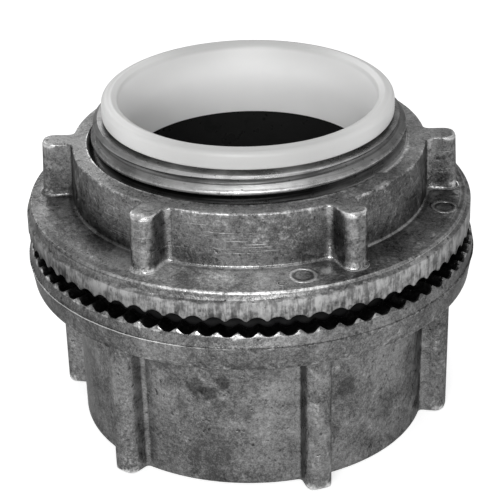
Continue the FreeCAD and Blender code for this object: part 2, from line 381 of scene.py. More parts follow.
zincLook = {
    "dark": 0.068, "light": 0.285, "metallic": 0.95, "roughness": 0.34, "stainDepth": 0.3, "pitDepth": 0.55,
    "rightShadeDepth": 0.2, "gapShade": 0.8, "shadeFadeShare": 0.5, "specular": (0.45, 0.45, 0.45, 1),
}
# A zone is a product of smooth steps, each an axis, where it is 0 and where it is 1. The axes are z and reach
# in millimetres, and right and front, the sine and cosine of the angle from the front.
zincZones = {"shadedRight": ("right", 0.7, 0.95, "reach", 24.3, 24.8), "shadeFade": ("right", 0.3, 0.85)}


class Zinc(Sheet):
    # Die-cast zinc: slow clouds, finer mottle and grain, dark stains and pits, bright rubbed edges, painted
    # highlights in corners and painted shade on the right side, in the gap between the toothed rings and in
    # the thread.

    def __init__(self, name, look, zones):
        super().__init__(name)
        self.look = look
        self.zones = {**zincZones, **zones}
        self.place = self.coordinates()
        self.x, self.y, self.z = self.parts(self.place)
        self.reach = lengthOf(self.x, self.y)
        self.right = self.x / self.reach
        self.front = -self.y / self.reach
        self.clouds = self.noise(self.place, 0.1, 3.0, 0.5)
        self.mottle = self.noise(self.place, 0.42, 5.0, 0.62, 0.6)
        self.grain = self.noise(self.place, 2.1, 3.0, 0.62)
        self.stains = self.between(self.noise(self.place, 0.21, 5.0, 0.62, 0.9), 0.56, 0.7)
        self.pits = self.between(self.noise(self.place, 1.3, 2.0, 0.5), 0.66, 0.74)
        speckle = self.noise(self.place, 5.2, 1.0, 0.5) - 0.5
        clouds, mottle, grain = self.clouds - 0.5, self.mottle - 0.5, self.grain - 0.5
        edge = self.attribute("edge")
        worn = edge + mottle * look["edgeMottle"] + grain * look["edgeGrain"]
        self.rubbed = self.between(worn, *look["rubbed"])
        self.corner = self.between(mottle * look["cornerMottle"] - edge, *look["corner"])
        tone = self.between(0.44 + clouds * 1.1 + mottle * 0.9 + grain * 1.05 + speckle * 0.85, 0.0, 1.0)
        self.value = look["dark"] + tone * (look["light"] - look["dark"])
        self.metal = look["metallic"]
        self.roughness = look["roughness"] + mottle * 0.5 + grain * 0.25
        self.height = mottle * 0.045 + grain * 0.045 + speckle * 0.016 - self.pits * 0.05

    def zone(self, name):
        facts = self.zones[name]
        steps = zip(facts[::3], facts[1::3], facts[2::3])
        return math.prod(self.between(getattr(self, axis), start, full) for axis, start, full in steps)

    def done(self, thread):  # painted shade lies in the gap between the toothed rings, and in the thread with some grime, less on the right
        look = self.look
        value = self.value * (1 - self.stains * look["stainDepth"]) * (1 - self.pits * look["pitDepth"])
        # painted shade: the right side of the zinc is darkened
        value = value * (1 - self.zone("shadedRight") * look["rightShadeDepth"])
        # painted highlight in the corners; rubbed edges are lighter
        value = value + self.corner * look["cornerLight"] + self.rubbed * look["rubbedLight"]
        # the thread's painted shade fades on the right
        shadeFade = 1 - self.zone("shadeFade") * look["shadeFadeShare"]
        value = value * (1 - self.larger(self.zone("gap") * look["gapShade"], thread * shadeFade))
        roughness = self.roughness + self.stains * 0.08 - self.rubbed * 0.16 - self.corner * 0.14
        grey = self.node("ShaderNodeCombineColor", {}, value, value, value)
        return self.finish(self.height, Base_Color=grey, Metallic=self.metal, Roughness=roughness,
                           Specular_Tint=look["specular"])


# Hub casting

hubShape = {
    "barrelHeight": 20.6, "footRadius": 23.35, "draft": 0.35, "footChamfer": 0.3, "rootFillet": 0.8,
    "ribRadius": 26.75, "ribDraft": 0.2, "ribWidth": 3.5, "ribCorner": 1.6, "ribFillet": 0.6,
    "ribEnd": 0.6, "ribLift": 0.12, "ribTurn": -41.6, "ribEndNarrowing": 0.3,
    "tipHeight": 25.97, "toothDepth": 0.66, "toothDraft": 0.22, "notchTurn": -1.23, "wallFoot": 29.28,
    "partingHeight": 23.91, "partingProud": 0.15, "roughTurn": 62, "grooveInner": 22.2, "grooveOuter": 26.3,
    "nippleRadius": 20.65, "landDrop": 0.9, "chamfer": 0.9,
    "entryRadius": 19.22, "entryDepth": 16.8, "entryChamfer": 1.2, "entryThreadDepth": 1.6,
    "stopRadius": 16.7, "linerRadius": 17.3, "underRings": (25.4, 26.6, 27.4), "underOuter": 28.3,
    "topRings": (19.0, 18.2), "stopTop": 27.0,
}


def barrelRing(shape, height, reach, flare):
    share = height / shape["barrelHeight"]
    lift = min(max((height - shape["ribLift"]) / shape["ribEnd"], 0), 1)
    narrow = shape["ribEndNarrowing"] * (1 - math.sqrt(1 - (1 - lift) ** 2))
    theta, radius = lobedPlan(
        shape["footRadius"] + shape["draft"] * share,
        shape["ribRadius"] + shape["ribDraft"] * share,
        shape["ribWidth"] - narrow,
        shape["ribCorner"] - narrow / 2,
        shape["ribFillet"],
        shape["ribTurn"],
    )
    return theta, np.maximum(np.minimum(radius, reach), flare)


def hubSkin(shape):
    skin = Skin()
    flange = hub["flangeRadius"]
    tip = shape["tipHeight"]
    boreMouth = shape["entryRadius"] + shape["entryChamfer"]
    foot = shape["footRadius"]
    ribEnd = shape["ribEnd"]
    lift = shape["ribLift"]
    far = flange + 5  # outside every rib, so that nothing is cut
    # bottom face, ribs' lower ends and the barrel's side
    plan = evenTurn(360)
    skin.rings(plan, (boreMouth, 0), (boreMouth + 0.15, 0), (foot - 0.9, 0))
    stations = [(0.0, foot - shape["footChamfer"], 0), (0.1, foot - 0.1, 0), (lift, foot, 0)]
    endCentre = shape["ribRadius"] - ribEnd
    stations += [(lift, foot + (endCentre - foot) * share, 0) for share in (0.2, 0.5, 1.0)]
    stations += [(z, r, 0) for r, z in arcPoints((endCentre, lift + ribEnd), ribEnd, -75, 0, 6)]
    top = shape["barrelHeight"] - shape["rootFillet"]
    stations += [(z, far, 0) for z in np.linspace(lift + ribEnd + 0.5, top, 9)]
    barrelRoot = foot + shape["draft"]
    root = shape["rootFillet"]
    stations += [(z, far, r) for r, z in arcPoints((barrelRoot + root, top), root, 165, 90, 6)]
    stations += [(shape["barrelHeight"], far, r) for r in shape["underRings"]]
    for height, reach, flare in stations:
        theta, radius = barrelRing(shape, height, reach, flare)
        skin.ring(theta, radius, height)
    # underside and drafted wall of the flange
    plan = evenTurn(720)
    base = shape["barrelHeight"]
    sag = wander(plan, ((2, 0.03), (5, 0.02), (11, 0.015)))
    parting = shape["partingHeight"]
    wallTop = flange + 0.05
    wall = shape["wallFoot"]
    skin.rings(plan, (shape["underOuter"], base), (wall - 0.3, base))
    skin.rings(plan, *arcPoints((wall - 0.3, base + 0.3), 0.3, -60, -10, 3))
    for share in (0.15, 0.4, 0.65, 0.88):
        height = base + 0.3 + (parting - base - 0.5) * share
        skin.ring(plan, wall + (wallTop - wall) * share + sag * (1 - share), height)
    # parting line, left as a thin uneven flash
    plan = evenTurn(1440)
    rough = np.clip(np.sin(plan - math.radians(shape["roughTurn"])), 0, 1) ** 6
    rough += 0.35 * np.clip(-np.sin(plan + 0.9), 0, 1) ** 8
    flash = shape["partingProud"] * (0.75 + wander(plan, ((9, 0.1), (23, 0.08), (61, 0.06))))
    flash = np.clip(flash - rough * np.abs(luck.normal(0, 0.09, plan.shape)), 0.0, shape["partingProud"])
    waver = wander(plan, ((3, 0.03), (7, 0.02))) + rough * luck.normal(0, 0.035, plan.shape)
    skin.ring(plan, flange, parting - 0.22 + waver)
    skin.ring(plan, flange + flash, parting - 0.13 + waver)
    skin.ring(plan, flange + flash, parting - 0.02 + waver)
    skin.ring(plan, flange - 0.04, parting + 0.06 + waver)
    # teeth: straight flanks, pointed tips and rounded valleys, each a little different
    arc, number = alongTooth(plan, shape["notchTurn"])
    halfPitch = tau * flange / hub["toothCount"] / 2
    depth = shape["toothDepth"]
    fall = np.interp(np.abs(arc), (0, 0.25, 0.42, 0.6, 0.8, halfPitch), (1.0, 0.985, 0.93, 0.8, 0.58, 0.0))
    fall *= (1 + luck.normal(0, 0.03, hub["toothCount"]))[number]
    tooth = np.round((plan - math.radians(shape["notchTurn"])) / tau * hub["toothCount"] - 0.5).astype(int)
    worn = np.abs(luck.normal(0, 0.07, hub["toothCount"]))[tooth % hub["toothCount"]]
    rim = np.minimum(-fall * depth, -worn * 0.8)
    upper = flange - shape["toothDraft"] + 0.1 * np.sin(plan)
    skin.ring(plan, (flange + upper) / 2, parting + 0.4)
    skin.ring(plan, upper, parting + 0.45 + (tip - depth - parting - 0.5) * 0.5)
    skin.ring(plan, upper, tip - depth - 0.08)
    lean = 0.3 * np.clip(1 + rim / depth, 0, 1)  # the outer ends of the teeth lean inwards
    skin.ring(plan, upper - lean * 0.9, tip + rim - 0.05)
    for inset in (0.05, 0.9, 1.9, hub["toothLength"] - shape["toothDraft"] - 0.15):
        radius = upper - np.maximum(inset, lean + 0.04)
        skin.ring(plan, radius, tip + rim * radius / flange)
    inner = flange - hub["toothLength"]
    toothFoot = tip - depth - 0.3
    skin.ring(plan, inner, tip + rim - 0.06)
    skin.ring(evenTurn(720), inner - 0.4, toothFoot)
    # groove of the seal and the land inside it
    plan = evenTurn(360)
    outer = shape["grooveOuter"]
    grooveInner = shape["grooveInner"]
    floor = sealLow[2]
    land = tip - shape["landDrop"]
    skin.rings(plan, (outer + 0.06, toothFoot), (outer, toothFoot - 0.06), (outer, floor + 0.05),
               (outer - 0.05, floor), (grooveInner + 0.05, floor), (grooveInner, floor + 0.05),
               (grooveInner, land - 0.08), (grooveInner - 0.08, land))
    # nipple, threaded from the land to its chamfered top
    crest = shape["nippleRadius"]
    depth = hub["threadDepth"]
    topHeight = hubHigh[2]
    phases = (0.0, 0.08, 0.13, 0.22, 0.31, 0.38, 0.44, 0.5, 0.56, 0.62, 0.69, 0.78, 0.87, 0.92)
    drops = (0.0, 0.0, 0.08, 0.45, 0.82, 0.96, 1.0, 1.0, 1.0, 0.96, 0.82, 0.45, 0.08, 0.0)
    radii = [crest - depth * drop for drop in drops]

    def nippleLimit(radius, height):
        return np.minimum(radius, crest - np.clip(height - (topHeight - shape["chamfer"]), 0, 9))

    skin.thread(land, topHeight, phases, radii, 300, True, nippleLimit)
    # top face, liner seat and the stop inside
    liner = shape["linerRadius"]
    seat = throatLow[2]
    stop = shape["stopRadius"]
    entry = shape["entryRadius"]
    entryTop = shape["entryDepth"]
    skin.rings(plan, *((radius, topHeight) for radius in (*shape["topRings"], liner + 0.05)))
    skin.rings(plan, (liner, topHeight - 0.05), (liner, seat + 0.05), (liner - 0.05, seat),
               (stop + 0.1, seat), (stop, seat - 0.1), (stop, shape["stopTop"]), (stop, entryTop + 0.6),
               (stop + 0.2, entryTop + 0.4), (entry - 0.3, entryTop))
    # entry, with the same thread turned inside out
    phases = (0.0, 0.06, 0.25, 0.42, 0.5, 0.58, 0.75, 0.94)
    rises = (0.0, 0.0, 0.5, 1.0, 1.0, 1.0, 0.5, 0.0)
    radii = [entry + shape["entryThreadDepth"] * rise for rise in rises]

    def entryLimit(radius, height):  # the mouth's chamfer and the thread's taper
        tapered = radius - height / 32
        return np.maximum(tapered, entry + shape["entryChamfer"] - height)

    skin.thread(0.0, entryTop - 0.1, phases, radii, 240, False, entryLimit)
    return skin


hubLook = {
    **zincLook, "edgeMottle": 0.2, "edgeGrain": 0.18, "rubbed": (0.03, 0.17), "rubbedLight": 0.6,
    "cornerMottle": 0.0, "corner": (0.02, 0.22), "cornerLight": 0.0, "castLight": 1.2,
    "machined": 0.4, "machinedRoughness": 0.3, "lastCrestLight": 0.25, "flashLight": 0.16, "flashDark": 0.02,
    "tipDark": 0.05, "tipLight": 0.32, "nickLight": 0.5, "shadeDepth": 0.28, "passage": 0.03,
    "passageDull": 0.5, "nick": (-28.4, 12.6, 29.65, 0.3),  # angle, half its height, radius, reach
}
hubTip = hubShape["tipHeight"]
hubZones = {
    "nipple": ("z", hubTip - 0.5, hubTip, "reach", 21.6, 21.2),
    "root": ("reach", 19.86, 19.74, "reach", 19.0, 19.2, "z", 42.2, 41.9),
    "lit": ("front", 0.6, 0.97), "rootLit": ("front", 0.7, 0.95), "lastCrest": ("z", 41.8, 42.1),
    "proud": ("reach", 29.68, 29.74), "tips": ("reach", 29.2, 29.3, "z", hubTip - 0.62, hubTip - 0.5),
    "shade": ("z", 21.71, 20.31, "z", 16.5, 19.5), "passage": ("reach", 18.4, 18.0, "z", 42.0, 41.0),
    "rim": ("reach", 29.2, 29.3, "z", 23.0, 23.2),
    "freeTurns": ("z", 39.5, 40.0), "lastTurn": ("z", 41.6, 42.0),
    "gap": ("reach", 29.3, 29.15, "reach", 21.0, 21.4, "z", hubTip - 1.2, hubTip - 1.1),
    "thread": ("reach", 20.9, 20.7, "reach", 18.4, 18.8, "z", 39.9, 39.5),
    "threadRoot": ("reach", 20.3, 19.8),
}
# Oil stains of the barrel: angle from the front in degrees, height and radius in millimetres, depth
barrelStains = (
    (-18.6, 14.4, 1.5, 0.5), (-13.8, 13.5, 1.4, 0.6), (-9.8, 15.4, 1.1, 0.55), (-11.5, 12.0, 1.0, 0.4),
    (30.4, 12.6, 1.6, 0.45), (-39.7, 14.5, 2.2, 0.35), (-2.9, 11.2, 1.3, 0.35), (4.0, 18.4, 3.2, 0.35),
    (47.0, 7.0, 2.4, 0.3), (24.0, 6.5, 1.5, 0.35), (-31.0, 18.0, 2.2, 0.4), (120.0, 9.0, 2.6, 0.45),
    (171.0, 13.0, 2.0, 0.5), (-128.0, 11.0, 2.2, 0.4),
)


def hubMaterial(look):
    # Machined thread above the rings, stains on the barrel, a bright ragged flash on the parting line;
    # painted light on the thread's front and last crest, painted shade in the thread, under the flange and
    # down the bore.
    sheet = Zinc("zincHub", look, hubZones)
    between, zone, place, grain = sheet.between, sheet.zone, sheet.place, sheet.grain
    nipple = zone("nipple")
    turning = sheet.noise(sheet.stretched(place, (0.12, 0.12, 5.0)), 1.4, 3.0, 0.6)
    wear = sheet.noise(place, 0.3, 4.0, 0.6)
    bright = look["machined"] * (0.65 + between(wear * 0.6 + turning * 0.6, 0.4, 0.8) * 0.5)
    # painted highlight on the front of the thread, painted shade in its roots, deeper at the front
    bright = bright * (0.66 + zone("lit") * 0.8) * (1 - zone("root") * (0.4 + zone("rootLit") * 0.4))
    # painted light on the last crest, under the liner's lip
    bright = bright * (1 + zone("lastCrest") * look["lastCrestLight"])
    value = sheet.value * look["castLight"] * (1 - nipple) + bright * nipple
    sheet.height = sheet.height * (1 - nipple * 0.6) + (turning - 0.5) * nipple * 0.03
    blot = sheet.noise(place, 0.9, 3.0, 0.6)
    for degrees, level, size, depth in barrelStains:
        near = sheet.spot(place, degrees, level, hubShape["footRadius"], size)
        value = value * (1 - between(near + (blot - 0.5) * 1.6, 1.15, 0.6) * depth)
    proud = zone("proud")
    flash = proud * between(grain + blot + wear * 0.6, 1.32, 1.5)
    value = value + flash * look["flashLight"] - proud * look["flashDark"]
    tips = zone("tips")
    worn = between(grain * 0.6 + wear * 1.4, 1.03, 1.16)
    value = value + tips * (look["tipDark"] + worn * look["tipLight"])
    nick = sheet.spot(sheet.stretched(place, (1.0, 1.0, 0.5)), *look["nick"])
    nick = between(nick + (blot - 0.5), 1.1, 0.8)
    value = (value + nick * look["nickLight"]) * (1 - zone("shade") * look["shadeDepth"])
    machined = look["machinedRoughness"] + (wear - 0.5) * 0.3
    sheet.roughness = sheet.roughness * (1 - nipple) + machined * nipple - nick * 0.2 - tips * 0.1
    # painted shade: the bore below the liner is painted near black and made less metallic
    passage = zone("passage")
    sheet.metal = look["metallic"] - passage * look["passageDull"]
    sheet.value = value * (1 - passage) + passage * look["passage"]
    # the rubbed edges of the rim and the teeth stay mostly on the left, as wear and a painted highlight
    broken = between(sheet.clouds * 0.5 + sheet.mottle * 0.5 - sheet.x / 70, 0.5, 0.64)
    turns = zone("freeTurns") * 0.5 + zone("lastTurn") * 0.35
    sheet.rubbed = sheet.rubbed * (1 - zone("rim") * (1 - broken * 0.8)) * (1 - turns) * (1 - passage)
    # painted shade in the thread inside the locknut, with some grime, deepest in its roots
    return sheet.done(zone("thread") * (0.45 + zone("threadRoot") * 0.45))


zincHub = hubMaterial(hubLook)
makePiece("hubCasting", hubSkin(hubShape), "hub", "hub_body", zincHub, 40)

# Locknut casting

nutShape = {
    "flangeThickness": 3.82, "toothDepth": 0.56, "tipWidth": 0.32, "notchTurn": 0.88,
    "recess": 1.25, "bandStep": 0.38, "offCentre": 0.5, "wallDraft": 0.12, "rimRound": 0.3, "crown": 0.3,
    "collarRadius": 23.45, "collarDraft": 0.25, "collarRound": 0.25, "collarFillet": 0.35,
    "lugRadius": 27.6, "lugDraft": 0.45, "lugWidth": 3.3, "lugCorner": 1.5, "lugFillet": 0.9,
    "lugEnd": 0.5, "lugTurn": -30.7, "boreRadius": 20.7, "boreChamfer": -0.3, "mouthLeft": 0.9,
    "topSlope": 0.08, "rimTurned": 0.38, "topInner": 22.95, "recessRing": 24.5, "crownOuter": 28.4,
    "crownRings": (27.75, 27.0, 26.0, 25.0, 24.3, 23.9, 0), "topRings": (25.4, 24.3, 23.4),
    "mouthRings": (22.2, 21.5), "mouthWear": 0.62, "slopeStart": 24, "slopeRun": 3.6,
}
nutBand = {"middle": 30.35, "tilt": 0.38, "rise": 0.3}
nutTip, nutTop = nutLow[2], nutHigh[2]


def lugRing(shape, offset, height):
    fade = min(max((height - nutTip) / (nutTop - nutTip), 0), 1)
    return lobedPlan(
        shape["collarRadius"] - shape["collarDraft"] * fade + offset,
        shape["lugRadius"] - shape["lugDraft"] * fade + offset,
        shape["lugWidth"] + 2 * offset,
        shape["lugCorner"] + max(offset, -0.2),
        shape["lugFillet"],
        shape["lugTurn"],
    )


def locknutSkin(shape):
    skin = Skin()
    flange = hub["flangeRadius"]
    tip, top = nutTip, nutTop
    recess = tip + shape["recess"]
    rimTop = tip + shape["flangeThickness"]
    inner = flange - hub["toothLength"]
    bore = shape["boreRadius"]
    # recess inside the teeth
    skin.rings(evenTurn(360), (bore + 0.08, recess), (bore + 1, recess), (shape["recessRing"], recess))
    skin.ring(evenTurn(720), inner - 0.4, recess)
    # teeth: round scallops between narrow blunt tips
    plan = evenTurn(1440)
    arc, number = alongTooth(plan, shape["notchTurn"])
    halfChord = math.pi * flange / hub["toothCount"] - shape["tipWidth"] / 2
    depth = shape["toothDepth"]
    swell = (halfChord ** 2 + depth ** 2) / (2 * depth)
    arch = np.sqrt(swell ** 2 - np.clip(np.abs(arc), 0, halfChord) ** 2) - swell + depth
    arch *= (1 + luck.normal(0, 0.05, hub["toothCount"]))[number]
    arch = np.maximum(arch, 0.0)
    skin.ring(plan, inner - 0.02, tip + arch + 0.06)
    # the rim stands a little off the bore's centre, so it is recessed on the right
    right = np.clip(np.sin(plan), 0, 1) ** 2
    turned = flange - 0.05 - shape["rimTurned"] * right
    for radius in (inner + 0.05, flange - 1.9, flange - 0.9, turned - 0.12):
        skin.ring(plan, radius, tip + arch * radius / flange)
    # rim: a turned band below, the cast wall above it
    bandTop = nutBand["middle"] + nutBand["tilt"] * np.sin(plan) + nutBand["rise"] * right
    bandTop = bandTop + wander(plan, ((5, 0.06), (9, 0.05), (14, 0.04), (31, 0.03)))
    bandTop = np.minimum(bandTop, rimTop - 0.5)
    skin.ring(plan, turned - 0.05, tip + arch + 0.06)
    skin.ring(plan, turned, tip + arch + 0.25)
    skin.ring(plan, turned, tip + 1.2)
    skin.ring(plan, turned, bandTop - 0.32)
    skin.ring(plan, turned, bandTop - 0.1)
    wall = flange - shape["bandStep"]
    skin.ring(plan, wall + 0.08 - right * shape["offCentre"], bandTop + 0.06)
    skin.ring(plan, wall - right * shape["offCentre"], bandTop + 0.14)
    plan = evenTurn(720)
    rim = shape["rimRound"]
    rimRadius = wall - shape["wallDraft"]
    uneven = wander(plan, ((3, 0.03), (8, 0.02), (17, 0.012)))
    uneven = uneven - np.clip(np.sin(plan), 0, 1) ** 2 * shape["offCentre"]
    for radius, height in arcPoints((rimRadius - rim, rimTop - rim), rim, 0, 90, 6):
        skin.ring(plan, radius + uneven, height)
    # crown, the foot of the collar and its lugs
    crownTop = rimTop + shape["crown"]
    fillet = shape["collarFillet"]
    crownInner = shape["collarRadius"] + fillet
    skin.ring(plan, shape["crownOuter"] + uneven, rimTop + 0.02)

    def crownHeight(radius):
        return rimTop + shape["crown"] * (rimRadius - radius) / (rimRadius - crownInner)

    theta, outline = lugRing(shape, fillet, rimTop)
    for reach in shape["crownRings"]:
        radius = np.maximum(outline, reach)
        skin.ring(theta, radius, crownHeight(radius))
    for turn in np.radians((22, 45, 67, 90)):
        theta, radius = lugRing(shape, fillet * (1 - math.sin(turn)), rimTop)
        lugSlope = shape["crown"] * np.clip((radius - shape["slopeStart"]) / shape["slopeRun"], 0, 1)
        skin.ring(theta, radius, crownTop + fillet * (1 - math.cos(turn)) - lugSlope)
    end = shape["lugEnd"]
    edge = shape["collarRound"]
    for height in np.linspace(rimTop + 1.2, top - end, 6):
        skin.ring(*lugRing(shape, 0, height), height)
    edgeTop = top - shape["topSlope"]
    endCentre = shape["lugRadius"] - shape["lugDraft"] - end
    for reach, height in arcPoints((endCentre, edgeTop - end), end, 10, 90, 8):
        inset = edge - math.sqrt(max(edge ** 2 - max(height - (edgeTop - edge), 0) ** 2, 0))
        theta, radius = lugRing(shape, -inset, height)
        skin.ring(theta, np.minimum(radius, reach), height)
    theta, radius = lugRing(shape, -edge, edgeTop)
    for reach in (*shape["topRings"], shape["topInner"]):
        skin.ring(theta, np.minimum(radius, reach), edgeTop)
    # top face, then the thread that sits between the nipple's
    slope = shape["topSlope"] / (shape["topInner"] - bore)
    plan = evenTurn(360)
    left = np.clip(-np.sin(plan), 0, 1)
    skin.rings(plan, *((radius, top - slope * (radius - bore)) for radius in shape["mouthRings"]))
    skin.ring(plan, bore + 0.08 + shape["mouthWear"] * left, top)
    phases = (0.0, 0.09, 0.2, 0.3, 0.38, 0.42, 0.5, 0.58, 0.62, 0.7, 0.8, 0.91)
    rises = (0.0, 0.0, 0.33, 0.67, 0.93, 1.0, 1.0, 1.0, 0.93, 0.67, 0.33, 0.0)
    radii = [bore - hub["threadDepth"] * rise for rise in rises]

    def boreLimit(radius, height):  # both mouths are chamfered, the upper one more on the left
        upper = height - (top - 0.8) + shape["mouthLeft"] * left
        mouth = np.maximum(upper, (recess + 0.8) - height)
        return np.maximum(radius, bore + shape["boreChamfer"] - 0.8 + mouth)

    skin.thread(recess, top, phases, radii, 360, False, boreLimit)
    return skin


nutLook = {
    **zincLook, "edgeMottle": 0.1, "edgeGrain": 0.08, "rubbed": (0.012, 0.075), "rubbedLight": 0.7,
    "cornerMottle": 0.05, "corner": (0.01, 0.045), "cornerLight": 0.22, "dullShare": 0.5,
    "frontLight": 0.95, "sheenSpotLight": 1.0, "topLight": 0.55, "bandDark": 0.16, "bandSpan": 0.36,
    "bandRoughness": 0.42, "scratchLight": 0.42, "flatLight": 0.3, "ridgeLight": 0.35, "glintLight": 0.25,
    "leftFlat": 0.34, "farLeftFlat": 0.5, "leftHollow": 0.3, "leftOuter": 0.3,
}
rimEdge = nutTip + nutShape["flangeThickness"]
crownTop = rimEdge + nutShape["crown"]
pinLevel = rimEdge + 0.1
nutZones = {
    "band": ("reach", 28.7, 28.8), "bandLeft": ("right", -0.35, -0.75),
    "bandUpper": ("z", nutTip + 0.6, nutTip + 2.6), "scratched": ("z", nutTip + 5.0, nutTip + 6.0),
    "flat": ("reach", 23.9, 24.3, "z", pinLevel + 0.5, pinLevel + 0.2),
    "crown": ("reach", 23.45, 23.55, "z", crownTop + 0.6, crownTop + 0.2,
              "z", crownTop - 0.7, crownTop - 0.5),
    "top": ("z", nutTop - 0.3, nutTop - 0.15),
    "wall": ("reach", 28.3, 28.5, "z", 31.08, 30.98),
    "lugSide": ("reach", 24.6, 25.0, "z", 32.3, 32.7, "z", nutTop - 0.5, nutTop - 0.8),
    "lugEnd": ("reach", 24.6, 25.0, "z", 37.0, 37.5),
    "rim": ("reach", 28.0, 28.3), "litRim": ("front", 0.8, 0.97),
    "left": ("right", -0.35, -0.65), "farLeft": ("right", -0.78, -0.9),
    "hollow": ("reach", 27.4, 24.2, "z", 34.0, 31.8), "outer": ("reach", 27.6, 28.3, "z", 30.9, 31.1),
    "crownFlat": ("z", 33.0, 31.9, "z", 30.9, 31.1),
    "gap": ("reach", 29.26, 29.16, "z", nutTip + 1.25, nutTip + 1.15),
    "thread": ("reach", 21.0, 20.8), "threadCrest": ("reach", 20.1, 20.6),
}
# Places on the crown and the collar: angle from the front in degrees, height, radius and reach in
# millimetres; clear is a painted sheen and glint a painted glint
nutSpots = {
    "scratches": (-9.0, nutTop - 2.4, 23.3, 7.0), "clear": (-9.6, crownTop, 26.3, 3.4),
    "glint": (20.6, pinLevel, 26.0, 0.9),
}
# Round marks of ejector pins on the crown: angle from the front in degrees, radius and size in millimetres
pinMarks = (
    (13.9, 26.05, 1.75), (7.6, 27.3, 0.6), (73.9, 26.2, 1.75), (133.9, 26.2, 1.75), (-166.1, 26.2, 1.75),
    (-106.1, 26.2, 1.75),
)


def trimMask(sheet):  # one on the turned band of the locknut's rim, whose top edge is uneven
    patch = sheet.noise(sheet.place, 0.28, 3.0, 0.6, 0.4) - 0.5
    ragged = sheet.noise(sheet.place, 1.5, 3.0, 0.6) - 0.5
    right = sheet.larger(sheet.right, 0.0)
    level = nutBand["middle"] + sheet.right * nutBand["tilt"] + right * right * nutBand["rise"]
    level = level + patch * 2.4 + ragged * 0.5
    return sheet.zone("band") * sheet.between(level - sheet.z, -0.12, 0.1)


def nutMaterial(look):
    # Trimmed band of the rim, scratches round the collar, marks of ejector pins, a less metallic front and
    # top with painted light on them, and painted shade on the left.
    sheet = Zinc("zincNut", look, nutZones)
    between, zone, place, grain = sheet.between, sheet.zone, sheet.place, sheet.grain
    band = trimMask(sheet)
    streaks = sheet.noise(sheet.stretched(place, (1.3, 1.3, 0.3)), 0.9, 4.0, 0.7, 0.3)
    fine = sheet.noise(sheet.stretched(place, (1.7, 1.7, 0.25)), 2.6, 2.0, 0.6)
    smear = sheet.noise(place, 0.7, 4.0, 0.65)
    tone = between(streaks * 0.35 + fine * 0.2 + smear * 0.45, 0.4, 0.6)
    upper = zone("bandUpper")
    bandValue = look["bandDark"] + tone * look["bandSpan"] + (upper - 0.5) * 0.1 - (1 - sheet.clouds) * 0.06
    bandValue = bandValue * (1 - zone("bandLeft") * (0.5 - upper * 0.3))
    value = sheet.value * (1 - band) + bandValue * band
    sheet.roughness = sheet.roughness * (1 - band) + (look["bandRoughness"] + (smear - 0.5) * 0.4) * band
    # scratches round the collar, lightened and gathered at the front: partly real scratches, partly a painted
    # highlight
    scratches = sheet.noise(sheet.stretched(place, (0.13, 0.13, 6.5)), 1.1, 3.0, 0.6)
    where = between(sheet.noise(place, 0.16, 2.0, 0.5), 0.42, 0.62) * 0.5
    where = where + between(sheet.spot(place, *nutSpots["scratches"]), 1.0, 0.4)
    scratched = between(scratches, 0.6, 0.68) * where * zone("scratched")
    value = value + scratched * look["scratchLight"]
    height = sheet.height * (1 - band * 0.3) + (fine - 0.5) * 0.04 * band - scratched * 0.02
    # painted light: the crown and the rim below it are lighter, off the turned band
    value = value * (1 + zone("flat") * (1 - band) * look["flatLight"])
    for degrees, radius, size in pinMarks:
        away = sheet.spot(place, degrees, pinLevel, radius, size)
        ridge = between(away, 0.68, 0.84) * between(away, 1.1, 0.94)
        height = height + ridge * 0.3 - between(away, 0.8, 0.6) * 0.05
        # painted highlight on each mark's ridge and painted shade in the ring inside it
        value = value + ridge * (grain * look["ridgeLight"])
        value = value * (1 - between(away, 0.5, 0.58) * between(away, 0.74, 0.66) * 0.5)
    sheet.height = height
    glint = sheet.spot(place, *nutSpots["glint"]) + (grain - 0.5) * 1.2
    value = value + between(glint, 1.0, 0.5) * look["glintLight"]
    # painted sheen on the front of the crown, brightest at a clear spot, and painted light on the top of the
    # collar; both are less metallic
    front = zone("crown") * between(sheet.front * 0.97 - sheet.right * 0.24, 0.72, 0.94)
    clear = between(sheet.spot(place, *nutSpots["clear"]), 1.0, 0.2)
    top = zone("top")
    sheet.metal = look["metallic"] - (front + top) * look["dullShare"]
    value = value * (1 + front * (look["frontLight"] + clear * look["sheenSpotLight"]) + top * look["topLight"])
    # some edges are rubbed less, and on the rim the rubbed edge, partly a painted highlight, stays at the
    # front; corners lose their painted highlight on the left, and painted shade darkens the left side, in the
    # hollow by the collar, on the crown and at its outer edge, while the crown's far end is painted lighter
    wall = zone("wall")
    left = zone("left")
    dim = (1 - zone("lugSide") * 0.85) * (1 - zone("rim") * (1 - zone("litRim")) * 0.7)
    sheet.rubbed = sheet.rubbed * (1 - wall) * dim * (1 - zone("lugEnd") * 0.4)
    sheet.corner = sheet.corner * (1 - wall) * (1 - left * 0.85)
    flat = zone("crownFlat") * (look["leftFlat"] - zone("farLeft") * look["farLeftFlat"])
    dark = flat + zone("hollow") * look["leftHollow"] + zone("outer") * look["leftOuter"]
    sheet.value = value * (1 - left * dark)
    # painted shade in the bore's thread, with some grime, deeper towards its roots
    return sheet.done(zone("thread") * (0.5 + zone("threadCrest") * 0.4))


zincNut = nutMaterial(nutLook)
makePiece("locknutCasting", locknutSkin(nutShape), "nut", "locknut", zincNut, 40)

# Insulating liner

linerShape = {
    "boreRadius": 16.1, "wall": 1.2, "throatLength": 3.0, "lipRadius": 19.1, "lipHeight": 2.62,
    "crestRadius": 17.75, "innerRadius": 17.05, "innerDrop": 0.35, "outerRound": 0.75, "underRound": 0.3,
}
# The lip and the back of the bell are painted darker than the bell, the lip most at its front and back
# (worn), as painted shade
linerLook = {
    "bell": (0.95, 0.95, 0.945, 1), "bellBackShade": (0.72, 0.72, 0.715, 1), "lip": (0.75, 0.75, 0.745, 1),
    "worn": (0.54, 0.54, 0.535, 1), "cloud": (0.5, 0.5, 0.5, 1), "cloudShare": 0.06, "roughness": 0.38,
    "scatter": 0.2, "scatterDepth": 0.0008, "lipReach": (17.1, 17.2),
}


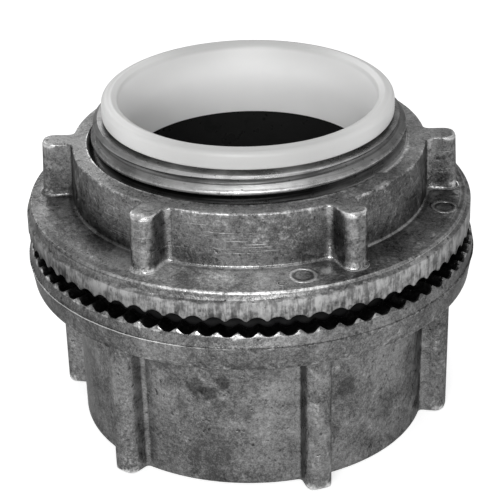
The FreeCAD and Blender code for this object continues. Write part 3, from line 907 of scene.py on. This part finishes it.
def linerMaterial(look):
    # White moulded plastic: faint clouds, a soft gloss and light handling marks, with painted shade in its
    # colours.
    sheet = Sheet("linerWhite")
    place = sheet.coordinates()
    clouds = sheet.noise(place, 0.12, 3.0, 0.5)
    fine = sheet.noise(place, 1.6, 3.0, 0.6)
    marks = sheet.noise(sheet.stretched(place, (0.5, 0.5, 3.0)), 1.2, 2.0, 0.6)
    x, y, z = sheet.parts(place)
    reach = lengthOf(x, y)
    top = throatHigh[2]
    rim = sheet.between(z + (clouds - 0.5) * 0.3, top - 1.1, top - 0.5)
    rim = sheet.larger(rim, sheet.between(reach, *look["lipReach"]))
    # painted shade: the lip is darker than the bell, most at its front and back, and so is the upper back of
    # the bell
    lip = sheet.mixed(sheet.between(y * y / (reach * reach), 0.3, 0.92), look["lip"], look["worn"])
    back = sheet.between(y / reach, 0.2, 0.95) * sheet.between(z, top - 4.5, top - 0.8)
    colour = sheet.mixed(rim, sheet.mixed(back, look["bell"], look["bellBackShade"]), lip)
    colour = sheet.mixed(sheet.between(clouds, 0.35, 0.75) * look["cloudShare"], colour, look["cloud"])
    roughness = look["roughness"] + (fine - 0.5) * 0.16 + (marks - 0.5) * 0.1
    height = (clouds - 0.5) * 0.04 + (fine - 0.5) * 0.006
    return sheet.finish(height, Base_Color=colour, Roughness=roughness, IOR=1.5,
                        Subsurface_Weight=look["scatter"], Subsurface_Radius=(1, 1, 1),
                        Subsurface_Scale=look["scatterDepth"])


def linerSkin(shape):
    skin = Skin()
    plan = evenTurn(300)
    bore = shape["boreRadius"]
    seat = throatLow[2]
    top = throatHigh[2]
    throat = seat + shape["throatLength"]
    innerTop = top - shape["innerDrop"]
    flare = shape["innerRadius"] - bore
    rise = innerTop - throat
    bell = (flare ** 2 + rise ** 2) / (2 * flare)
    bellTurn = math.degrees(math.asin(rise / bell))
    outerRadius = bore + shape["wall"]
    outer = shape["outerRound"]
    under = shape["underRound"]
    lipUnder = top - shape["lipHeight"]
    edge = top - 0.2
    lip = shape["lipRadius"]
    crest = shape["crestRadius"]
    inside = arcPoints((bore + bell, throat), bell, 180 - bellTurn, 180, 14)
    underside = arcPoints((lip - under, lipUnder + under), under, -90, 0, 5)
    shoulder = arcPoints((lip - outer, edge - outer), outer, 0, 90, 9)
    dome = [(crest + (lip - outer - crest) * s, top - 0.2 * s ** 2) for s in (0.75, 0.5, 0.25, 0.0)]
    inner = shape["innerRadius"]
    roll = [(inner + (crest - inner) * math.sin(a), innerTop + (top - innerTop) * math.cos(math.pi / 2 - a))
            for a in np.radians((60, 40, 20, 8))]
    skin.rings(plan, (bore, seat), (outerRadius - 0.3, seat), (outerRadius - 0.02, seat + 0.3),
               (outerRadius - 0.02, lipUnder - 0.1), (outerRadius + 0.1, lipUnder), *underside,
               *shoulder, *dome, *roll, *inside, (bore, seat + 0.1))
    return skin


linerWhite = linerMaterial(linerLook)
makePiece("linerBell", linerSkin(linerShape), "hub", "insulated_throat", linerWhite, 60)

# Sealing ring

sealShape = {"sideGap": 0.1, "dome": 1.2}
sealLook = {
    "colour": (0.009, 0.009, 0.0095, 1), "dust": (0.015, 0.015, 0.0145, 1), "roughness": 0.6,
    "specular": 0.12,
}


def rubberMaterial(look):
    # Black rubber with a thin film of dust in patches and a fine moulded grain.
    sheet = Sheet("sealRubber")
    place = sheet.coordinates()
    dust = sheet.between(sheet.noise(place, 0.3, 4.0, 0.6), 0.45, 0.75)
    grain = sheet.noise(place, 4.0, 2.0, 0.5) - 0.5
    colour = sheet.mixed(dust, look["colour"], look["dust"])
    return sheet.finish(grain * 0.02, Base_Color=colour, Roughness=look["roughness"] + grain * 0.2,
                        Specular_IOR_Level=look["specular"])


def sealSkin(shape):
    skin = Skin()
    inner = hubShape["grooveInner"] + shape["sideGap"]
    outer = hubShape["grooveOuter"] - shape["sideGap"]
    floor, top = sealLow[2], sealHigh[2]
    dome = shape["dome"]
    side = (floor + top - dome) / 2
    middle = (inner + outer) / 2
    half = (outer - inner) / 2
    swell = (half ** 2 + dome ** 2) / (2 * dome)
    crown = [(middle + v, top - swell + math.sqrt(swell ** 2 - v ** 2)) for v in np.linspace(half, -half, 13)]
    skin.rings(evenTurn(240), (inner, floor), (outer, floor), (outer, side), *crown, (inner, side))
    return skin


sealRubber = rubberMaterial(sealLook)
makePiece("sealRing", sealSkin(sealShape), "seal", "sealing_ring", sealRubber, 50)
print("pieces ready")

# Camera, floor and light

view = {
    "focalPixels": 1999.706, "distance": 270.53, "elevation": 27.2626, "roll": 1.361,
    "aim": (0.0, 0.0, 22.156), "centre": (251.3, 249.99), "frame": 500, "sensor": 36.0, "nearest": 0.01,
}
room = {
    "strength": 0.46, "floorReach": 3.0, "floorDrop": 0.00002, "floorGrey": (0.8, 0.8, 0.8, 1),
    "floorGlow": 0.62, "floorMirrored": 0.45, "lampAim": (0, 0, 0.03),
}
# Name, place and size in metres, power in watts
lamps = (
    ("keyFront", (-0.12, -0.52, 0.29), (0.25, 0.2), 1.3),
    ("lowFront", (0.04, -0.6, 0.14), (0.4, 0.12), 0.9),
    ("backLeft", (-0.16, 0.5, 0.34), (0.3, 0.2), 0.5),
    ("overhead", (0.0, -0.02, 0.6), (0.25, 0.25), 0.3),
)


def makeCamera(facts):
    data = bpy.data.cameras.new("camera")
    data.sensor_width = facts["sensor"]
    data.lens = facts["focalPixels"] * facts["sensor"] / facts["frame"]
    data.shift_x = (facts["frame"] / 2 - facts["centre"][0]) / facts["frame"]
    data.shift_y = (facts["centre"][1] - facts["frame"] / 2) / facts["frame"]
    data.clip_start = facts["nearest"]
    camera = bpy.data.objects.new("camera", data)
    lift = math.radians(facts["elevation"])
    camera.location = (
        facts["aim"][0] * mm,
        (facts["aim"][1] - facts["distance"] * math.cos(lift)) * mm,
        (facts["aim"][2] + facts["distance"] * math.sin(lift)) * mm,
    )
    camera.rotation_mode = "XYZ"
    roll = math.radians(facts["roll"])
    turn = Euler((math.pi / 2 - lift, 0, 0)).to_matrix() @ Matrix.Rotation(-roll, 3, "Z")
    camera.rotation_euler = turn.to_euler()
    bpy.context.scene.collection.objects.link(camera)
    bpy.context.scene.camera = camera


def makeLamp(aim, name, spot, size, watts):
    data = bpy.data.lights.new(name, "AREA")
    data.shape = "RECTANGLE"
    data.size, data.size_y = size
    data.energy = watts
    lamp = bpy.data.objects.new(name, data)
    lamp.location = spot
    lamp.rotation_euler = (Vector(aim) - Vector(spot)).to_track_quat("-Z", "Y").to_euler()
    bpy.context.scene.collection.objects.link(lamp)


def makeFloor(facts):
    mesh = bpy.data.meshes.new("floor")
    reach = facts["floorReach"]
    low = -facts["floorDrop"]
    square = [(-reach, -reach, low), (reach, -reach, low), (reach, reach, low), (-reach, reach, low)]
    mesh.from_pydata(square, [], [(0, 1, 2, 3)])
    sheet = Sheet("floorWhite")
    camera = sheet.node("ShaderNodeLightPath", {}, output="Is Camera Ray")
    glossy = sheet.node("ShaderNodeLightPath", {}, output="Is Glossy Ray")
    seen = sheet.larger(camera, glossy * facts["floorMirrored"])
    diffuse = sheet.node("ShaderNodeBsdfDiffuse", {}, facts["floorGrey"])
    glow = sheet.node("ShaderNodeEmission", {}, (1, 1, 1, 1), facts["floorGlow"])
    both = sheet.node("ShaderNodeAddShader", {}, diffuse, glow)
    sheet.node("ShaderNodeOutputMaterial", {}, sheet.node("ShaderNodeMixShader", {}, seen, diffuse, both))
    mesh.materials.append(sheet.material)
    floor = bpy.data.objects.new("floor", mesh)
    bpy.context.scene.collection.objects.link(floor)


def makeWorld(strength):
    world = bpy.data.worlds.new("room")
    bpy.context.scene.world = world
    world.use_nodes = True
    background = world.node_tree.nodes["Background"]
    background.inputs[0].default_value = (1, 1, 1, 1)
    background.inputs[1].default_value = strength


makeCamera(view)
makeFloor(room)
makeWorld(room["strength"])
for lamp in lamps:
    makeLamp(room["lampAim"], *lamp)
bpy.context.scene.view_settings.view_transform = "Standard"
print("stage ready")
